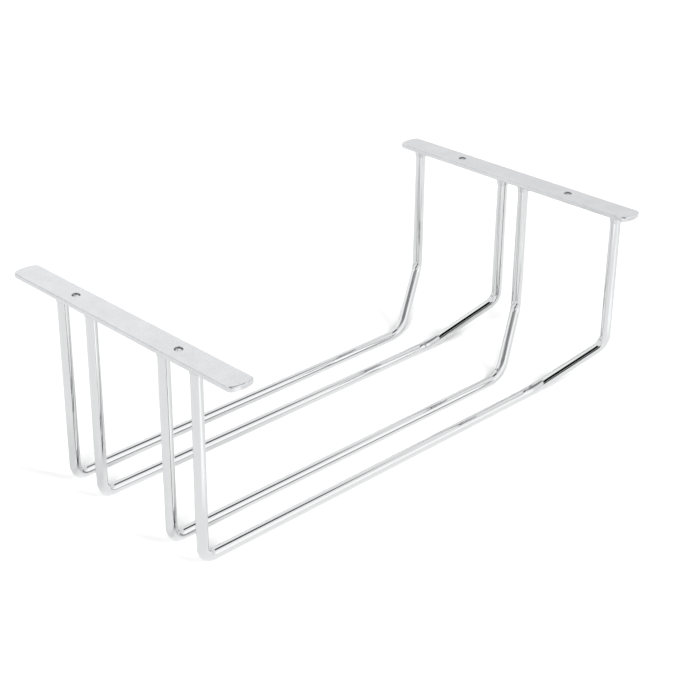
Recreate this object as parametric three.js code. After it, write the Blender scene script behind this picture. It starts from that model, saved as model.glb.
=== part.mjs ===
// Under-shelf stemware rack: four bent round rods hang from two flat mounting bars and form two lanes.
// Millimetres. +Z is up, X runs along the bars, and the flared mouths of the lanes face -Y.
// The origin is under the middle of the rack, level with the undersides of the rods.
import * as THREE from 'three';

// Overall size
const LENGTH = 400;
const HEIGHT = 150;

// Mounting bars
const BAR_LENGTH = 230;
const BAR_WIDTH = 20;
const BAR_THICKNESS = 4;
const BAR_END_RADIUS = 20;
const BAR_CORNER_RADIUS = 4;
const BAR_EDGE_ROUND = 1.2;
const SCREW_HOLE_RADIUS = 2.4;
const SCREW_HOLE_X = 53.5;

// Rods
const ROD_RADIUS = 4;
const ROD_SIDES = 24;
const REAR_X = { inner: 38, outer: 70 };
const FRONT_X = { inner: 10.5, outer: 99 };
const FLARE_DEPTH = 50;
const FLARE_RISE = 35;
const REAR_BEND_RADIUS = 9;
const FLARE_START_RADIUS = 36;
const FLARE_END_RADIUS = 13.5;
const BEND_STEP = THREE.MathUtils.degToRad(6);

// Welds
const WELD_GAP = 0.1;
const WELD_SPREAD = 2.4;
const WELD_DROP = 6.5;
const WELD_LIP = 0.5;
const WELD_SIDES = 24;

// Levels and lines that follow from the sizes above
const LEG_Y = (LENGTH - BAR_WIDTH) / 2;
const BAR_UNDERSIDE_Z = HEIGHT - BAR_THICKNESS;
const RUN_Z = ROD_RADIUS;
const FLARE_START_Y = -LEG_Y + FLARE_DEPTH;
const FLARE_END_Z = RUN_Z + FLARE_RISE;

const LANE_SIDES = { left: -1, right: 1 };
const ROD_PLACES = ['inner', 'outer'];
const BAR_Y = { front: -LEG_Y, rear: LEG_Y };

// The curve of a rod that is straight between its bends. It is stored as stations, each a point and
// the rod's direction there, and its parameter counts stations, so only the bends are finely divided.
class RodCurve extends THREE.Curve {
  constructor(stations) {
    super();
    this.stations = stations;
  }

  stationAt(t) {
    return this.stations[Math.round(t * (this.stations.length - 1))];
  }

  getPoint(t, target = new THREE.Vector3()) {
    return target.copy(this.stationAt(t).point);
  }

  getPointAt(t, target) {
    return this.getPoint(t, target);
  }

  getTangentAt(t, target = new THREE.Vector3()) {
    return target.copy(this.stationAt(t).direction);
  }
}

// The stations of one round bend: an arc that is tangent to both straights that meet at the corner.
function bendStations(before, corner, after, radius) {
  const directionIn = corner.clone().sub(before).normalize();
  const directionOut = after.clone().sub(corner).normalize();
  const turn = directionIn.angleTo(directionOut);
  const axis = directionIn.clone().cross(directionOut).normalize();
  const setback = radius * Math.tan(turn / 2);
  const start = corner.clone().addScaledVector(directionIn, -setback);
  const towardsCentre = axis.clone().cross(directionIn);
  const centre = start.clone().addScaledVector(towardsCentre, radius);
  const steps = Math.ceil(turn / BEND_STEP);
  return Array.from({ length: steps + 1 }, (_, step) => {
    const angle = (turn * step) / steps;
    const point = start.clone().sub(centre).applyAxisAngle(axis, angle).add(centre);
    const direction = directionIn.clone().applyAxisAngle(axis, angle);
    return { point, direction };
  });
}

// From the rear bar a rod drops, runs forward, flares up and sideways, and rises to the front bar.
function rodCurve(side, place) {
  const rearX = side * REAR_X[place];
  const frontX = side * FRONT_X[place];
  const rearTop = new THREE.Vector3(rearX, LEG_Y, BAR_UNDERSIDE_Z);
  const rearCorner = new THREE.Vector3(rearX, LEG_Y, RUN_Z);
  const flareStart = new THREE.Vector3(rearX, FLARE_START_Y, RUN_Z);
  const flareEnd = new THREE.Vector3(frontX, -LEG_Y, FLARE_END_Z);
  const frontTop = new THREE.Vector3(frontX, -LEG_Y, BAR_UNDERSIDE_Z);
  const down = new THREE.Vector3(0, 0, -1);
  const up = new THREE.Vector3(0, 0, 1);
  return new RodCurve([
    { point: rearTop, direction: down },
    ...bendStations(rearTop, rearCorner, flareStart, REAR_BEND_RADIUS),
    ...bendStations(rearCorner, flareStart, flareEnd, FLARE_START_RADIUS),
    ...bendStations(flareStart, flareEnd, frontTop, FLARE_END_RADIUS),
    { point: frontTop, direction: up },
  ]);
}

function rodSection() {
  const corners = Array.from({ length: ROD_SIDES }, (_, side) => {
    const angle = (2 * Math.PI * side) / ROD_SIDES;
    return new THREE.Vector2(ROD_RADIUS * Math.cos(angle), ROD_RADIUS * Math.sin(angle));
  });
  return new THREE.Shape(corners);
}

function rodGeometry(side, place) {
  const curve = rodCurve(side, place);
  return new THREE.ExtrudeGeometry(rodSection(), {
    steps: curve.stations.length - 1,
    extrudePath: curve,
    bevelEnabled: false,
  });
}

// Half of a bar's end, as the angles and centres of its two arcs: the wide arc across the end, and the
// small arc that rounds the corner between it and the bar's long side.
function barEndArcs() {
  const endCentreX = BAR_LENGTH / 2 - BAR_END_RADIUS;
  const cornerY = BAR_WIDTH / 2 - BAR_CORNER_RADIUS;
  const endAngle = Math.asin(cornerY / (BAR_END_RADIUS - BAR_CORNER_RADIUS));
  const cornerX = endCentreX + (BAR_END_RADIUS - BAR_CORNER_RADIUS) * Math.cos(endAngle);
  return { endCentreX, cornerX, cornerY, endAngle };
}

// The plan of a bar, drawn anticlockwise from its right end round to its left end.
function barShape() {
  const { endCentreX, cornerX, cornerY, endAngle } = barEndArcs();
  const quarter = Math.PI / 2;
  const shape = new THREE.Shape();
  shape.absarc(endCentreX, 0, BAR_END_RADIUS, -endAngle, endAngle);
  shape.absarc(cornerX, cornerY, BAR_CORNER_RADIUS, endAngle, quarter);
  shape.absarc(-cornerX, cornerY, BAR_CORNER_RADIUS, quarter, Math.PI - endAngle);
  shape.absarc(-endCentreX, 0, BAR_END_RADIUS, Math.PI - endAngle, Math.PI + endAngle);
  shape.absarc(-cornerX, -cornerY, BAR_CORNER_RADIUS, Math.PI + endAngle, 3 * quarter);
  shape.absarc(cornerX, -cornerY, BAR_CORNER_RADIUS, 3 * quarter, 4 * quarter - endAngle);
  for (const side of Object.values(LANE_SIDES)) {
    const hole = new THREE.Path();
    hole.absarc(side * SCREW_HOLE_X, 0, SCREW_HOLE_RADIUS, 0, 2 * Math.PI, true);
    shape.holes.push(hole);
  }
  return shape;
}

// The bevel rounds the bar's edges and the rims of its holes inside the bar's full size.
function barGeometry() {
  const geometry = new THREE.ExtrudeGeometry(barShape(), {
    depth: BAR_THICKNESS - 2 * BAR_EDGE_ROUND,
    curveSegments: 8,
    bevelEnabled: true,
    bevelThickness: BAR_EDGE_ROUND,
    bevelSize: BAR_EDGE_ROUND,
    bevelOffset: -BAR_EDGE_ROUND,
    bevelSegments: 2,
  });
  geometry.translate(0, 0, BAR_EDGE_ROUND);
  return geometry;
}

// A hollow-faced fillet ring around the top of a rod, with its flat side up against the bar and a thin
// lip at its foot, where the bead ends on the rod.
function weldGeometry() {
  const innerRadius = ROD_RADIUS + WELD_GAP;
  const outerRadius = innerRadius + WELD_SPREAD;
  const lipZ = WELD_LIP - WELD_DROP;
  const face = new THREE.EllipseCurve(
    outerRadius, lipZ, WELD_SPREAD - WELD_LIP, -lipZ, Math.PI, Math.PI / 2, true,
  );
  const foot = new THREE.Vector2(innerRadius, -WELD_DROP);
  const profile = [foot, ...face.getPoints(4), new THREE.Vector2(innerRadius, 0), foot.clone()];
  return new THREE.LatheGeometry(profile, WELD_SIDES).rotateX(Math.PI / 2);
}

// Bright chrome plate over steel, slightly duller on the flat bars and in the welds.
function chromeMaterial(roughness) {
  return new THREE.MeshStandardMaterial({ color: '#dfe1e3', roughness, metalness: 1 });
}

function namedMesh(name, geometry, material) {
  const mesh = new THREE.Mesh(geometry, material);
  mesh.name = name;
  return mesh;
}

function makeBar(end) {
  const bar = namedMesh(`bar_${end}`, barGeometry(), chromeMaterial(0.25));
  bar.position.set(0, BAR_Y[end], BAR_UNDERSIDE_Z);
  return bar;
}

function makeRod(sideName, place) {
  const geometry = rodGeometry(LANE_SIDES[sideName], place);
  return namedMesh(`rod_${sideName}_${place}`, geometry, chromeMaterial(0.08));
}

function makeWeld(end, sideName, place) {
  const weld = namedMesh(`weld_${end}_${sideName}_${place}`, weldGeometry(), chromeMaterial(0.3));
  const distance = end === 'rear' ? REAR_X[place] : FRONT_X[place];
  weld.position.set(LANE_SIDES[sideName] * distance, BAR_Y[end], BAR_UNDERSIDE_Z);
  return weld;
}

function buildRack() {
  const rack = new THREE.Group();
  for (const end of Object.keys(BAR_Y)) {
    rack.add(makeBar(end));
  }
  for (const sideName of Object.keys(LANE_SIDES)) {
    for (const place of ROD_PLACES) {
      rack.add(makeRod(sideName, place));
      for (const end of Object.keys(BAR_Y)) {
        rack.add(makeWeld(end, sideName, place));
      }
    }
  }
  return rack;
}

export default buildRack();
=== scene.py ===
"""Looks of the under-shelf stemware rack: smooth bent rods, rounded bars and weld beads in chrome.

Metres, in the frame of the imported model: +Z up, X along the bars, flared mouths towards -Y.
In the studio, directions are in degrees: an azimuth from +Y towards +X, and an elevation.
"""

import math

import bmesh
import bpy
from mathutils import Matrix, Vector
from mathutils.geometry import delaunay_2d_cdt


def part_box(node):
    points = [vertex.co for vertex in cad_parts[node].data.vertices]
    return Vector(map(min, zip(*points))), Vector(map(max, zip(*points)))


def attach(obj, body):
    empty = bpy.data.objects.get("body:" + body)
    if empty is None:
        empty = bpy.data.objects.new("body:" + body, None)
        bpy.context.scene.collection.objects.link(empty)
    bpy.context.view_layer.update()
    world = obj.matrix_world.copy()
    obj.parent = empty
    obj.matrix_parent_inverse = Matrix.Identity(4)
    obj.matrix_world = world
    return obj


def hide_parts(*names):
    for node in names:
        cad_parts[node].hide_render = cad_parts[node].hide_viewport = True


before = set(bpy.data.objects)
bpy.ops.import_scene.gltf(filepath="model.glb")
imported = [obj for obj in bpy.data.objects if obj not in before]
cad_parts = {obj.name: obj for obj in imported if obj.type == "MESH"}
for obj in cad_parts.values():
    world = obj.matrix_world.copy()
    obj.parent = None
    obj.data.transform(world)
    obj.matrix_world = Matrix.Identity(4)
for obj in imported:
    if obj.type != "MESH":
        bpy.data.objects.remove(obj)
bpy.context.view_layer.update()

# Rods: the sizes that the boxes of the nodes don't give, and how finely a rod is divided
FLARE_DEPTH = 0.050
FLARE_RISE = 0.035
REAR_BEND_RADIUS = 0.009
FLARE_START_RADIUS = 0.036
FLARE_END_RADIUS = 0.0135
ROD_SIDES = 64
BEND_STEP = math.radians(2)
STRAIGHT_STEP = 0.004

# Bars, and how finely their rounded edges, ends, corners, holes and faces are divided
BAR_END_RADIUS = 0.020
BAR_CORNER_RADIUS = 0.004
BAR_EDGE_ROUND = 0.0012
SCREW_HOLE_RADIUS = 0.0024
SCREW_HOLE_X = 0.0535
EDGE_STEPS = 8
END_STEPS = 14
CORNER_STEPS = 8
HOLE_STEPS = 48
FACE_STEP = 0.002

# Waves in the bars' faces: radians per metre along X and along Y, start in radians, and share
WAVES = ((95, 0, 0.6, 0.5), (212, 160, 1.1, 0.3), (61, -290, 2.0, 0.2))
# How deep the waves lie under flat on average, and half the distance that a slope is measured over
WAVE_DEPTH = 0.000012
SLOPE_STEP = 0.0005

# Painted shade: the plating is painted dark on the rounded rims of the holes, in place of the dark
# reflections there, between the first and the last of these angles down from the bar's face, and darkest at
# the middle one.
RIM_PAINTED_SHADE = (math.radians(20), math.radians(50), math.radians(85))

# Welds: the inside of a bead as a multiple of the rod's radius, the thin lip at its foot, how finely it
# is divided, and how many ripples run round it
WELD_INSIDE = 1.004
WELD_LIP = 0.0005
WELD_SIDES = 72
WELD_STEPS = 8
LIP_STEPS = 4
WELD_RIPPLES = 17

# The shares of a bead's spread and height that its uneven edge and its ripples take away at most
SPREAD_UNEVEN, SPREAD_RIPPLE = 0.16, 0.03
HEIGHT_UNEVEN, HEIGHT_RIPPLE = 0.12, 0.02

# How far places on the stock are drawn together along a rod and along a bar, which makes their fine
# marks into long lines
ROD_LINE_STRETCH = 0.02
BAR_LINE_STRETCH = 0.03

# Which part of a triangulation to keep, as delaunay_2d_cdt numbers it, and how near it merges points
CDT_INSIDE = 1
CDT_MERGE = 1e-7

LANE_SIDES = {"left": -1, "right": 1}
ROD_PLACES = ("inner", "outer")
BAR_ENDS = ("front", "rear")


# --- Camera ---------------------------------------------------------------------------------------

# Turns in degrees, lens in millimetres, shifts as shares of the picture's width, and the nearest and
# furthest that the camera sees
CAMERA_PLACE = Vector((-0.717826, 0.705486, 0.577648))
CAMERA_TURN = (64.3805, 0.1636, -132.9459)
CAMERA_LENS = 79.216
CAMERA_SHIFT = (0.0714286, -0.0571429)
CAMERA_REACH = (0.01, 100)


def make_camera():
    """A long lens high beyond the left corner of the closed end, looking down across the rack."""
    data = bpy.data.cameras.new("camera")
    data.lens = CAMERA_LENS
    data.shift_x, data.shift_y = CAMERA_SHIFT
    data.clip_start, data.clip_end = CAMERA_REACH
    camera = bpy.data.objects.new("camera", data)
    camera.location = CAMERA_PLACE
    camera.rotation_euler = [math.radians(angle) for angle in CAMERA_TURN]
    bpy.context.scene.collection.objects.link(camera)
    bpy.context.scene.camera = camera


# --- Node helpers ---------------------------------------------------------------------------------

def add_node(tree, kind, inputs=None, **settings):
    """A new node. A value in inputs is a number, a colour, or another node's output to link."""
    node = tree.nodes.new(kind)
    for name, value in settings.items():
        setattr(node, name, value)
    for key, value in (inputs or {}).items():
        if isinstance(value, bpy.types.NodeSocket):
            tree.links.new(value, node.inputs[key])
        else:
            node.inputs[key].default_value = value
    return node


def math_node(tree, operation, *values):
    """The result of one operation on numbers or on other nodes' outputs."""
    return add_node(tree, "ShaderNodeMath", dict(enumerate(values)), operation=operation).outputs[0]


def mix_values(tree, share, first, second):
    """The first value where the share is 0, and the second where it is 1."""
    inputs = {0: share, "A": first, "B": second}
    return add_node(tree, "ShaderNodeMix", inputs, data_type="FLOAT").outputs["Result"]


def noise(tree, place, scale, detail, roughness=0.5):
    return add_node(tree, "ShaderNodeTexNoise", {
        "Vector": place, "Scale": scale, "Detail": detail, "Roughness": roughness,
    }).outputs["Fac"]


def map_range(tree, value, span, target, shape="LINEAR"):
    """The value, with its span stretched over the target and held inside it."""
    return add_node(tree, "ShaderNodeMapRange", {
        "Value": value,
        "From Min": span[0], "From Max": span[1],
        "To Min": target[0], "To Max": target[1],
    }, interpolation_type=shape).outputs[0]


def ramp(tree, value, stops):
    """A colour ramp through (position, grey) stops."""
    node = add_node(tree, "ShaderNodeValToRGB", {"Fac": value})
    elements = node.color_ramp.elements
    while len(elements) < len(stops):
        elements.new(1.0)
    for element, (position, grey) in zip(elements, stops):
        element.position = position
        element.color = (grey, grey, grey, 1)
    return node.outputs["Color"]


# --- Studio ---------------------------------------------------------------------------------------

def smooth_window(tree, angle, centre, half_width, softness, wraps=False):
    """1 where the angle is within half_width of the centre, fading to 0 over the softness."""
    offset = math_node(tree, "SUBTRACT", angle, centre)
    if wraps:
        offset = math_node(tree, "WRAP", offset, 180.0, -180.0)
    distance = math_node(tree, "ABSOLUTE", offset)
    edge = (half_width + softness / 2, half_width - softness / 2)
    return map_range(tree, distance, edge, (0.0, 1.0), "SMOOTHSTEP")


# Panels of the studio as seen from the rack: azimuth, elevation, half width, half height and softness
# of the edges (all degrees), and brightness. A later panel lies over the earlier ones.
PANELS = (
    (-120, 28, 22, 22, 12, 1.64),
    (98, 30, 23, 19, 14, 1.44),
    (125, 26, 10, 12, 10, 1.34),
    (160, 25, 26, 15, 12, 1.14),
    (49, 62, 18, 7, 5, 1.58),
    (77, 65, 9, 8, 5, 0.38),
    (45, 4, 35, 2.5, 3, 0.34),
    (170, 57, 22, 5, 5, 0.05),
)
# The sky's brightness by its height, from the horizon at 0 to the zenith at 1
SKY_STOPS = ((0.0, 1.25), (0.05, 1.12), (0.12, 1.22), (0.69, 1.28), (0.73, 0.40), (1.0, 0.36))

# A dark strip with a thin light line across it, which the two flares that lean towards -X mirror
# along their whole length. It lies at one angle from the direction midway between those flares. Each
# pair of values is the middle of the strip or of the line and how far it reaches either side.
FLARE_DIRECTION = (-0.420, -0.744, 0.520)
STRIP_FROM_FLARE = (88, 10)
STRIP_ELEVATION = (27, 32)
STRIP_AZIMUTH = (-40, 45)
STRIP_SOFTNESS = 4
STRIP_BRIGHTNESS = 0.0
LINE_ELEVATION = (22, 3.5)
LINE_SOFTNESS = 3.5
LINE_BRIGHTNESS = 0.8


def with_panels(tree, brightness, azimuth, elevation):
    """The brightness of the studio with its panels laid over it."""
    for place, height, half_width, half_height, softness, panel in PANELS:
        across = smooth_window(tree, azimuth, place, half_width, softness, wraps=True)
        upward = smooth_window(tree, elevation, height, half_height, softness)
        share = math_node(tree, "MULTIPLY", across, upward)
        brightness = mix_values(tree, share, brightness, panel)
    return brightness


def with_strip(tree, brightness, direction, azimuth, elevation):
    """The brightness of the studio with the dark strip and its light line laid over it."""
    cosine = add_node(tree, "ShaderNodeVectorMath", {
        0: direction, 1: FLARE_DIRECTION,
    }, operation="DOT_PRODUCT").outputs["Value"]
    from_flare = math_node(tree, "DEGREES", math_node(tree, "ARCCOSINE", cosine))
    across = smooth_window(tree, from_flare, *STRIP_FROM_FLARE, STRIP_SOFTNESS)
    upward = smooth_window(tree, elevation, *STRIP_ELEVATION, STRIP_SOFTNESS)
    along = smooth_window(tree, azimuth, *STRIP_AZIMUTH, STRIP_SOFTNESS, wraps=True)
    share = math_node(tree, "MULTIPLY", math_node(tree, "MULTIPLY", across, upward), along)
    line = smooth_window(tree, elevation, *LINE_ELEVATION, LINE_SOFTNESS)
    strip = mix_values(tree, line, STRIP_BRIGHTNESS, LINE_BRIGHTNESS)
    return mix_values(tree, share, brightness, strip)


def make_world():
    """The studio that the chrome mirrors. The camera itself sees plain white, and lamps light the floor."""
    world = bpy.data.worlds.new("studio")
    world.use_nodes = True
    bpy.context.scene.world = world
    # This setting can be changed only once the scene has the world
    world.cycles_visibility.diffuse = False
    tree = world.node_tree
    tree.nodes.clear()
    direction = add_node(tree, "ShaderNodeTexCoord").outputs["Generated"]
    axes = add_node(tree, "ShaderNodeSeparateXYZ", {0: direction}).outputs
    azimuth = math_node(tree, "DEGREES", math_node(tree, "ARCTAN2", axes["X"], axes["Y"]))
    elevation = math_node(tree, "DEGREES", math_node(tree, "ARCSINE", axes["Z"]))
    sky = ramp(tree, math_node(tree, "DIVIDE", elevation, 90.0), SKY_STOPS)
    brightness = with_panels(tree, sky, azimuth, elevation)
    brightness = with_strip(tree, brightness, direction, azimuth, elevation)
    seen = add_node(tree, "ShaderNodeLightPath").outputs["Is Camera Ray"]
    background = add_node(tree, "ShaderNodeBackground", {
        "Color": (1, 1, 1, 1),
        "Strength": mix_values(tree, seen, brightness, 1.0),
    })
    add_node(tree, "ShaderNodeOutputWorld", {"Surface": background.outputs[0]})


# --- Floor and lamps ------------------------------------------------------------------------------

FLOOR_RADIUS = 12
FLOOR_SIDES = 96
FLOOR_ALBEDO = 0.9

# Suns on the floor: azimuth, elevation and size (degrees), and strength
SUNS = ((-42, 31, 30, 4.88), (-108, 45, 22, 1.83), (0, 90, 120, 0.63))
# Pools of light on the floor beside the rack: x, y, length, width, and the brightness they add
POOLS = ((-0.29, 0.15, 0.28, 0.12, 0.42), (-0.35, -0.2, 0.3, 0.13, 0.42))
POOL_HEIGHT = 0.5
POOL_SPREAD = math.radians(8)


def floor_material():
    """Matt white, without any gloss."""
    material = bpy.data.materials.new("floor")
    material.use_nodes = True
    shader = material.node_tree.nodes["Principled BSDF"]
    shader.inputs["Base Color"].default_value = (FLOOR_ALBEDO, FLOOR_ALBEDO, FLOOR_ALBEDO, 1)
    shader.inputs["Roughness"].default_value = 1.0
    shader.inputs["Specular IOR Level"].default_value = 0.0
    return material


def make_floor():
    bm = bmesh.new()
    bmesh.ops.create_circle(bm, cap_ends=True, radius=FLOOR_RADIUS, segments=FLOOR_SIDES)
    mesh = bpy.data.meshes.new("floor")
    bm.to_mesh(mesh)
    bm.free()
    floor = bpy.data.objects.new("floor", mesh)
    bpy.context.scene.collection.objects.link(floor)
    mesh.materials.append(floor_material())


def direction_to(azimuth, elevation):
    """The unit vector towards an azimuth and elevation in degrees."""
    azimuth, elevation = math.radians(azimuth), math.radians(elevation)
    return Vector((
        math.sin(azimuth) * math.cos(elevation),
        math.cos(azimuth) * math.cos(elevation),
        math.sin(elevation),
    ))


def add_light(name, kind, place, towards_light):
    """A lamp that the chrome doesn't mirror, so that it lights the floor alone."""
    data = bpy.data.lights.new(name, kind)
    light = bpy.data.objects.new(name, data)
    light.location = place
    light.rotation_euler = towards_light.to_track_quat("Z", "Y").to_euler()
    light.visible_glossy = False
    bpy.context.scene.collection.objects.link(light)
    return data


def make_lights():
    """Three suns, and two narrow lamps that each make a pool of light."""
    for index, (azimuth, elevation, size, strength) in enumerate(SUNS):
        towards = direction_to(azimuth, elevation)
        sun = add_light(f"sun_{index}", "SUN", towards, towards)
        sun.energy = strength
        sun.angle = math.radians(size)
    for index, (x, y, length, width, brightness) in enumerate(POOLS):
        pool = add_light(f"pool_{index}", "AREA", Vector((x, y, POOL_HEIGHT)), Vector((0, 0, 1)))
        pool.shape = "RECTANGLE"
        pool.size = length
        pool.size_y = width
        pool.spread = POOL_SPREAD
        pool.energy = brightness * math.pi / FLOOR_ALBEDO * length * width


# --- Chrome ---------------------------------------------------------------------------------------

# The patterns in the plating: soft clouds and fine grain, as noise scales
CLOUD_SCALE = 90.0
GRAIN_SCALE = 1200.0

# How much of the one pattern is added to the other
CLOUD_IN_SHADE = 0.6
LINES_IN_POLISH = 0.6
GRAIN_IN_RELIEF = 0.3

# The part of those sums that is stretched over the whole range of the shade or of the roughness
SHADE_SPAN = (0.6, 1.0)
POLISH_SPAN = (0.55, 1.05)

# The share of the plating's brightness that the darkest painted shade on the hole rims takes away
PAINTED_SHADE_DEPTH = 0.93


def plating_colour(tree, tint, cloud, grain, mottle):
    """The tint of the plating, lighter and darker by the mottle, and darkened by the shade painted on the
    rims of the holes.
    """
    pattern = math_node(tree, "ADD", grain, math_node(tree, "MULTIPLY", cloud, CLOUD_IN_SHADE))
    shade = map_range(tree, pattern, SHADE_SPAN, (1 - mottle, 1 + mottle))
    # Painted shade: the colour is darkened on the rims of the holes, where the chrome shows dark reflections
    painted_shade = add_node(tree, "ShaderNodeAttribute", attribute_name="painted_shade").outputs["Fac"]
    unshaded = math_node(tree, "SUBTRACT", 1.0, math_node(tree, "MULTIPLY", painted_shade, PAINTED_SHADE_DEPTH))
    shade = math_node(tree, "MULTIPLY", shade, unshaded)
    return add_node(tree, "ShaderNodeVectorMath", {0: tint, 1: shade}, operation="MULTIPLY").outputs[0]


def chrome_material(name, tint, line_scale, roughness, relief, mottle):
    """Chrome plate over drawn or rolled steel: fine lines along the stock, and a slightly uneven polish."""
    material = bpy.data.materials.new(name)
    material.use_nodes = True
    tree = material.node_tree
    shader = tree.nodes["Principled BSDF"]
    along_stock = add_node(tree, "ShaderNodeAttribute", attribute_name="stock").outputs["Vector"]
    place = add_node(tree, "ShaderNodeTexCoord").outputs["Object"]
    lines = noise(tree, along_stock, line_scale, detail=3.0, roughness=0.55)
    cloud = noise(tree, place, CLOUD_SCALE, detail=4.0, roughness=0.6)
    grain = noise(tree, place, GRAIN_SCALE, detail=2.0)
    colour = plating_colour(tree, tint, cloud, grain, mottle)
    polish = math_node(tree, "ADD", cloud, math_node(tree, "MULTIPLY", lines, LINES_IN_POLISH))
    height = math_node(tree, "ADD", lines, math_node(tree, "MULTIPLY", grain, GRAIN_IN_RELIEF))
    bump = add_node(tree, "ShaderNodeBump", {"Height": height, "Strength": 1.0, "Distance": relief})
    tree.links.new(colour, shader.inputs["Base Color"])
    tree.links.new(map_range(tree, polish, POLISH_SPAN, roughness), shader.inputs["Roughness"])
    tree.links.new(bump.outputs[0], shader.inputs["Normal"])
    shader.inputs["Metallic"].default_value = 1.0
    return material


def rod_chrome():
    """Bright and very smooth, on drawn wire."""
    return chrome_material(
        "rod_chrome", tint=(0.572, 0.578, 0.583), line_scale=2600.0,
        roughness=(0.006, 0.025), relief=0.000001, mottle=0.015,
    )


def bar_chrome():
    """Softer and slightly mottled, on rolled flat bar."""
    return chrome_material(
        "bar_chrome", tint=(0.544, 0.552, 0.563), line_scale=2200.0,
        roughness=(0.07, 0.14), relief=0.000005, mottle=0.08,
    )


def weld_chrome():
    """The dullest and roughest, over the weld beads."""
    return chrome_material(
        "weld_chrome", tint=(0.550, 0.556, 0.562), line_scale=900.0,
        roughness=(0.12, 0.24), relief=0.00002, mottle=0.03,
    )


# --- Pieces and meshes ----------------------------------------------------------------------------

def finish_piece(piece_mesh, name, node, material):
    """Link a piece with its material under the root body, in the place of its node, which is hidden."""
    piece = bpy.data.objects.new(name, piece_mesh)
    bpy.context.scene.collection.objects.link(piece)
    piece_mesh.materials.append(material)
    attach(piece, "root")
    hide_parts(node)


def mesh_from(name, points, faces, lines_at, normals=None):
    """A smooth mesh. Its lines_at are places on the stock, which the fine lines of the finish follow."""
    mesh = bpy.data.meshes.new(name)
    mesh.from_pydata(points, [], faces)
    mesh.validate()
    for polygon in mesh.polygons:
        polygon.use_smooth = True
    attribute = mesh.attributes.new("stock", "FLOAT_VECTOR", "POINT")
    attribute.data.foreach_set("vector", [value for point in lines_at for value in point])
    if normals is not None:
        mesh.normals_split_custom_set_from_vertices(normals)
    mesh.update()
    return mesh


def band_faces(near, far):
    """The faces between two closed rings of points, given as equally long lists of indices."""
    faces = []
    for index in range(len(near)):
        following = (index + 1) % len(near)
        faces.append((near[index], near[following], far[following], far[index]))
    return faces


def rear_leg_y():
    """Where the rear legs stand: under the middle of the rear bar."""
    rear_bar_low, rear_bar_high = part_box("bar_rear")
    return (rear_bar_low.y + rear_bar_high.y) / 2


# --- Rods -----------------------------------------------------------------------------------------

def bend_stations(before, corner, after, radius):
    """Stations (point, direction) of the arc that is tangent to both straights at a corner."""
    direction_in = (corner - before).normalized()
    direction_out = (after - corner).normalized()
    turn = direction_in.angle(direction_out)
    axis = direction_in.cross(direction_out).normalized()
    start = corner - direction_in * radius * math.tan(turn / 2)
    centre = start + axis.cross(direction_in) * radius
    steps = math.ceil(turn / BEND_STEP)
    stations = []
    for step in range(steps + 1):
        spin = Matrix.Rotation(turn * step / steps, 3, axis)
        stations.append((centre + spin @ (start - centre), spin @ direction_in))
    return stations


def rod_stations(rear_top, rear_corner, flare_start, flare_end, front_top):
    """The whole path of a rod, with the straights between its bends divided too."""
    down = Vector((0, 0, -1))
    up = Vector((0, 0, 1))
    corners = [
        (rear_top, down),
        *bend_stations(rear_top, rear_corner, flare_start, REAR_BEND_RADIUS),
        *bend_stations(rear_corner, flare_start, flare_end, FLARE_START_RADIUS),
        *bend_stations(flare_start, flare_end, front_top, FLARE_END_RADIUS),
        (front_top, up),
    ]
    stations = [corners[0]]
    for (start, _), (end, direction) in zip(corners, corners[1:]):
        parts = max(1, round((end - start).length / STRAIGHT_STEP))
        for part in range(1, parts):
            stations.append((start.lerp(end, part / parts), direction))
        stations.append((end, direction))
    return stations


def rod_rings(stations, radius):
    """The points round a rod at every station, and their places on the stock."""
    points, lines_at = [], []
    side = Vector((1, 0, 0))
    travelled = 0.0
    previous_point, previous_direction = stations[0]
    for point, direction in stations:
        side = previous_direction.rotation_difference(direction) @ side
        across = direction.cross(side).normalized()
        travelled += (point - previous_point).length
        for index in range(ROD_SIDES):
            angle = 2 * math.pi * index / ROD_SIDES
            cosine, sine = math.cos(angle), math.sin(angle)
            points.append(point + (side * cosine + across * sine) * radius)
            lines_at.append((radius * cosine, radius * sine, travelled * ROD_LINE_STRETCH))
        previous_point, previous_direction = point, direction
    return points, lines_at


def rod_mesh(name, stations, radius):
    points, lines_at = rod_rings(stations, radius)
    starts = range(0, len(points), ROD_SIDES)
    rings = [range(start, start + ROD_SIDES) for start in starts]
    faces = []
    for near, far in zip(rings, rings[1:]):
        faces += band_faces(near, far)
    faces.append(tuple(reversed(rings[0])))
    faces.append(tuple(rings[-1]))
    mesh = mesh_from(name, points, faces, lines_at)
    mark_flat_caps(mesh)
    return mesh


def mark_flat_caps(mesh):
    """The round ends of a rod stay flat, with a sharp rim."""
    for polygon in mesh.polygons:
        if len(polygon.vertices) > 4:
            polygon.use_smooth = False


def make_rod(side_name, place, material):
    node = f"rod_{side_name}_{place}"
    low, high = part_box(node)
    leg_y = rear_leg_y()
    radius = high.y - leg_y
    side = LANE_SIDES[side_name]
    near_x, far_x = sorted((abs(low.x), abs(high.x)))
    if place == "inner":
        rear_x, front_x = far_x - radius, near_x + radius
    else:
        rear_x, front_x = near_x + radius, far_x - radius
    run_z = low.z + radius
    top_z = high.z
    stations = rod_stations(
        Vector((side * rear_x, leg_y, top_z)),
        Vector((side * rear_x, leg_y, run_z)),
        Vector((side * rear_x, -leg_y + FLARE_DEPTH, run_z)),
        Vector((side * front_x, -leg_y, run_z + FLARE_RISE)),
        Vector((side * front_x, -leg_y, top_z)),
    )
    mesh = rod_mesh(node, stations, radius)
    finish_piece(mesh, f"{node}_wire", node, material)


# --- Bars -----------------------------------------------------------------------------------------

def arc(centre_x, centre_y, radius, start, end, steps):
    """Points (x, y) along an arc, with both of its ends."""
    points = []
    for step in range(steps + 1):
        angle = start + (end - start) * step / steps
        points.append((centre_x + radius * math.cos(angle), centre_y + radius * math.sin(angle)))
    return points


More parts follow.
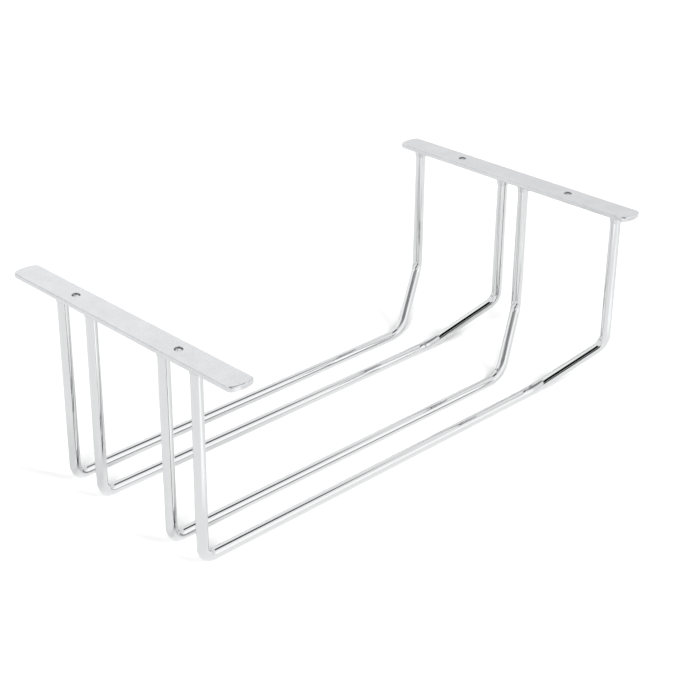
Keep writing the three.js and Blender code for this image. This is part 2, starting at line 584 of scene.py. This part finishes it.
def long_side(from_x, y):
    """Points (x, y) along a long side of a bar between its rounded corners, without its ends."""
    steps = round(2 * abs(from_x) / FACE_STEP)
    return [(from_x - 2 * from_x * step / steps, y) for step in range(1, steps)]


def bar_outline(length, width, inset):
    """The plan of a bar, anticlockwise from its right end, drawn the inset inside the full outline."""
    end_x = length / 2 - BAR_END_RADIUS
    corner_y = width / 2 - BAR_CORNER_RADIUS
    end_angle = math.asin(corner_y / (BAR_END_RADIUS - BAR_CORNER_RADIUS))
    corner_x = end_x + (BAR_END_RADIUS - BAR_CORNER_RADIUS) * math.cos(end_angle)
    end_radius = BAR_END_RADIUS - inset
    corner_radius = BAR_CORNER_RADIUS - inset
    side_y = width / 2 - inset
    quarter = math.pi / 2
    left_start, left_end = 2 * quarter - end_angle, 2 * quarter + end_angle
    points = arc(end_x, 0, end_radius, -end_angle, end_angle, END_STEPS)
    points += arc(corner_x, corner_y, corner_radius, end_angle, quarter, CORNER_STEPS)[1:]
    points += long_side(corner_x, side_y)
    points += arc(-corner_x, corner_y, corner_radius, quarter, left_start, CORNER_STEPS)
    points += arc(-end_x, 0, end_radius, left_start, left_end, END_STEPS)[1:]
    points += arc(-corner_x, -corner_y, corner_radius, left_end, 3 * quarter, CORNER_STEPS)[1:]
    points += long_side(-corner_x, -side_y)
    points += arc(corner_x, -corner_y, corner_radius, 3 * quarter, 4 * quarter - end_angle, CORNER_STEPS)[:-1]
    return points


def hole_outline(x, outset):
    """The rim of a screw hole, clockwise, so that the bar's metal is on its left as on the outline's."""
    return arc(x, 0, SCREW_HOLE_RADIUS + outset, 0, -2 * math.pi, HOLE_STEPS)[:-1]


def loops_at(length, width, inset):
    """The outline of a bar and the rims of its two holes, each drawn the inset into the metal."""
    holes = [hole_outline(side * SCREW_HOLE_X, inset) for side in LANE_SIDES.values()]
    return [bar_outline(length, width, inset), *holes]


def inside_face(x, y, length, width, margin):
    """Whether a place is on the metal and at least the margin from the outline and from the holes."""
    if abs(y) > width / 2 - margin:
        return False
    if math.hypot(max(abs(x) - (length / 2 - BAR_END_RADIUS), 0), y) > BAR_END_RADIUS - margin:
        return False
    return math.hypot(abs(x) - SCREW_HOLE_X, y) > SCREW_HOLE_RADIUS + margin


def wave(x, y):
    """The height of the rolled face over flat, which is never above 0, in long soft waves."""
    ripple = sum(
        share * math.sin(x * along + y * across + start) for along, across, start, share in WAVES
    )
    return WAVE_DEPTH * (ripple - 1)


def wave_slopes(x, y):
    """The slopes of the waves along X and along Y."""
    along = wave(x + SLOPE_STEP, y) - wave(x - SLOPE_STEP, y)
    across = wave(x, y + SLOPE_STEP) - wave(x, y - SLOPE_STEP)
    return along / (2 * SLOPE_STEP), across / (2 * SLOPE_STEP)


def face_triangles(length, width):
    """A flat face with its holes, divided into even triangles: the points, then the triangles."""
    points, edges = [], []
    for loop in loops_at(length, width, BAR_EDGE_ROUND):
        first = len(points)
        points += [Vector(point) for point in loop]
        edges += [(first + index, first + (index + 1) % len(loop)) for index in range(len(loop))]
    columns = round(length / FACE_STEP)
    rows = round(width / FACE_STEP)
    for column in range(columns + 1):
        for row in range(rows + 1):
            x = -length / 2 + length * column / columns
            y = -width / 2 + width * row / rows
            if inside_face(x, y, length, width, BAR_EDGE_ROUND + FACE_STEP / 2):
                points.append(Vector((x, y)))
    flat_points, _, triangles, *_ = delaunay_2d_cdt(points, edges, [], CDT_INSIDE, CDT_MERGE)
    solid = [corners for corners in triangles if not in_a_hole(flat_points, corners)]
    return flat_points, solid


def in_a_hole(flat_points, corners):
    """Whether a triangle of the face lies over a screw hole."""
    middle = sum((flat_points[corner] for corner in corners), Vector((0, 0))) / len(corners)
    return math.hypot(abs(middle.x) - SCREW_HOLE_X, middle.y) < SCREW_HOLE_RADIUS + BAR_EDGE_ROUND


def rim_painted_shade(angle):
    """How dark the shade painted on the rounded rim of a hole is, by the angle down from its top."""
    start, peak, end = RIM_PAINTED_SHADE
    if angle < peak:
        return max(0.0, (angle - start) / (peak - start))
    return max(0.0, (end - angle) / (end - peak))


def face_vertices(flat_points, z, up):
    """The wavy face of a bar at a height. A vertex is (place, normal, painted shade)."""
    vertices = []
    for x, y in flat_points:
        slope_x, slope_y = wave_slopes(x, y)
        normal = Vector((-slope_x, -slope_y, up)).normalized()
        vertices.append(((x, y, z + up * wave(x, y)), normal, 0.0))
    return vertices


def edge_turns(low_z, high_z):
    """The steps (angle from the face, height of the centre, 1 up or -1 down) of an edge, from the top."""
    quarter = math.pi / 2
    upper = [quarter * step / EDGE_STEPS for step in range(1, EDGE_STEPS + 1)]
    lower = [quarter * (1 - step / EDGE_STEPS) for step in range(EDGE_STEPS)]
    turns = [(angle, high_z - BAR_EDGE_ROUND, 1) for angle in upper]
    return turns + [(angle, low_z + BAR_EDGE_ROUND, -1) for angle in lower]


def edge_rings(full, inner, low_z, high_z, is_hole):
    """The rounded edge of the outline or of a hole, as rings of vertices from the top face down."""
    outward = [(Vector(a) - Vector(b)).normalized() for a, b in zip(full, inner)]
    rings = []
    for angle, centre_z, up in edge_turns(low_z, high_z):
        level, rise = math.sin(angle), up * math.cos(angle)
        reach, z = BAR_EDGE_ROUND * level, centre_z + BAR_EDGE_ROUND * rise
        # Painted shade on the upper half of a hole's rounded rim, in place of its dark reflections
        painted_shade = rim_painted_shade(angle) if is_hole and up > 0 else 0.0
        ring = []
        for (x, y), away in zip(inner, outward):
            normal = Vector((away.x * level, away.y * level, rise))
            ring.append(((x + away.x * reach, y + away.y * reach, z), normal, painted_shade))
        rings.append(ring)
    return rings


def bar_surface(length, width, low_z, high_z):
    """The vertices and faces of a bar: its top, its underside, and the rounded edges between them."""
    flat_points, triangles = face_triangles(length, width)
    vertices = face_vertices(flat_points, high_z, 1) + face_vertices(flat_points, low_z, -1)
    underside = len(flat_points)
    faces = [tuple(corners) for corners in triangles]
    faces += [tuple(underside + corner for corner in reversed(corners)) for corners in triangles]
    first = 0
    for full, inner in zip(loops_at(length, width, 0), loops_at(length, width, BAR_EDGE_ROUND)):
        count = len(full)
        rings = [range(first, first + count)]
        for ring in edge_rings(full, inner, low_z, high_z, is_hole=first > 0):
            rings.append(range(len(vertices), len(vertices) + count))
            vertices += ring
        rings.append(range(underside + first, underside + first + count))
        for upper, lower in zip(rings, rings[1:]):
            faces += band_faces(lower, upper)
        first += count
    return vertices, faces


def bar_mesh(name, low, high):
    middle_y = (low.y + high.y) / 2
    vertices, faces = bar_surface(high.x - low.x, high.y - low.y, low.z, high.z)
    points = [(x, middle_y + y, z) for (x, y, z), _, _ in vertices]
    normals = [normal for _, normal, _ in vertices]
    lines_at = [(x * BAR_LINE_STRETCH, y, z) for x, y, z in points]
    mesh = mesh_from(name, points, faces, lines_at, normals)
    # The painted shade of the hole rims, which darkens the bar's colour
    painted_shade = mesh.attributes.new("painted_shade", "FLOAT", "POINT")
    painted_shade.data.foreach_set("value", [share for _, _, share in vertices])
    return mesh


def make_bar(end, material):
    node = f"bar_{end}"
    low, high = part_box(node)
    finish_piece(bar_mesh(node, low, high), f"{node}_plate", node, material)


# --- Welds ----------------------------------------------------------------------------------------

def bead_size(angle, phase):
    """How far a bead spreads and how tall it is at an angle, as shares of its full size."""
    # Both run between about 0 and 1
    uneven = 0.5 + 0.25 * math.sin(2 * angle + phase) + 0.15 * math.sin(5 * angle + 2 * phase)
    ripple = 0.5 + 0.5 * math.sin(WELD_RIPPLES * angle + phase)
    spread = 1 - SPREAD_UNEVEN * uneven - SPREAD_RIPPLE * ripple
    height = 1 - HEIGHT_UNEVEN * uneven - HEIGHT_RIPPLE * ripple
    return spread, height


def bead_section(inner, reach, lip_z, top_z):
    """Points (radius, z) of a bead: round its lip, up its hollow face, and back along the bar."""
    quarter = math.pi / 2
    section = []
    for step in range(LIP_STEPS):
        turn = quarter * step / LIP_STEPS
        section.append((inner + WELD_LIP * math.sin(turn), lip_z - WELD_LIP * math.cos(turn)))
    for step in range(WELD_STEPS + 1):
        turn = quarter * step / WELD_STEPS
        radius = inner + WELD_LIP + reach * (1 - math.cos(turn))
        section.append((radius, lip_z + (top_z - lip_z) * math.sin(turn)))
    section.append((inner, top_z))
    return section


def weld_mesh(name, low, high, rod_radius, phase):
    """A concave fillet ring with the uneven edge and the soft ripples of a hand-made bead."""
    centre_x, centre_y = (low.x + high.x) / 2, (low.y + high.y) / 2
    inner = rod_radius * WELD_INSIDE
    full_reach = (high.x - low.x) / 2 - inner - WELD_LIP
    points, lines_at, rings = [], [], []
    for index in range(WELD_SIDES):
        angle = 2 * math.pi * index / WELD_SIDES
        cosine, sine = math.cos(angle), math.sin(angle)
        spread, height = bead_size(angle, phase)
        lip_z = high.z - (high.z - low.z) * height + WELD_LIP
        section = bead_section(inner, full_reach * spread, lip_z, high.z)
        rings.append(range(len(points), len(points) + len(section)))
        for radius, z in section:
            points.append((centre_x + radius * cosine, centre_y + radius * sine, z))
            lines_at.append((radius * cosine, radius * sine, z))
    faces = []
    for index, ring in enumerate(rings):
        faces += band_faces(ring, rings[index - 1])
    return mesh_from(name, points, faces, lines_at)


def make_weld(end, side_name, place, material):
    node = f"weld_{end}_{side_name}_{place}"
    low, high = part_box(node)
    _, rod_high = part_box(f"rod_{side_name}_{place}")
    # The two beads of a lane at the same bar are alike
    phase = len(side_name) * 1.7 + len(place + end) * 2.3 + (end == "rear")
    mesh = weld_mesh(node, low, high, rod_high.y - rear_leg_y(), phase)
    finish_piece(mesh, f"{node}_bead", node, material)


# --- The rack -------------------------------------------------------------------------------------

def make_rack():
    on_rods, on_bars, on_welds = rod_chrome(), bar_chrome(), weld_chrome()
    for end in BAR_ENDS:
        make_bar(end, on_bars)
    for side_name in LANE_SIDES:
        for place in ROD_PLACES:
            make_rod(side_name, place, on_rods)
            for end in BAR_ENDS:
                make_weld(end, side_name, place, on_welds)


make_camera()
make_world()
make_floor()
make_lights()
make_rack()
bpy.context.scene.view_settings.view_transform = "Standard"
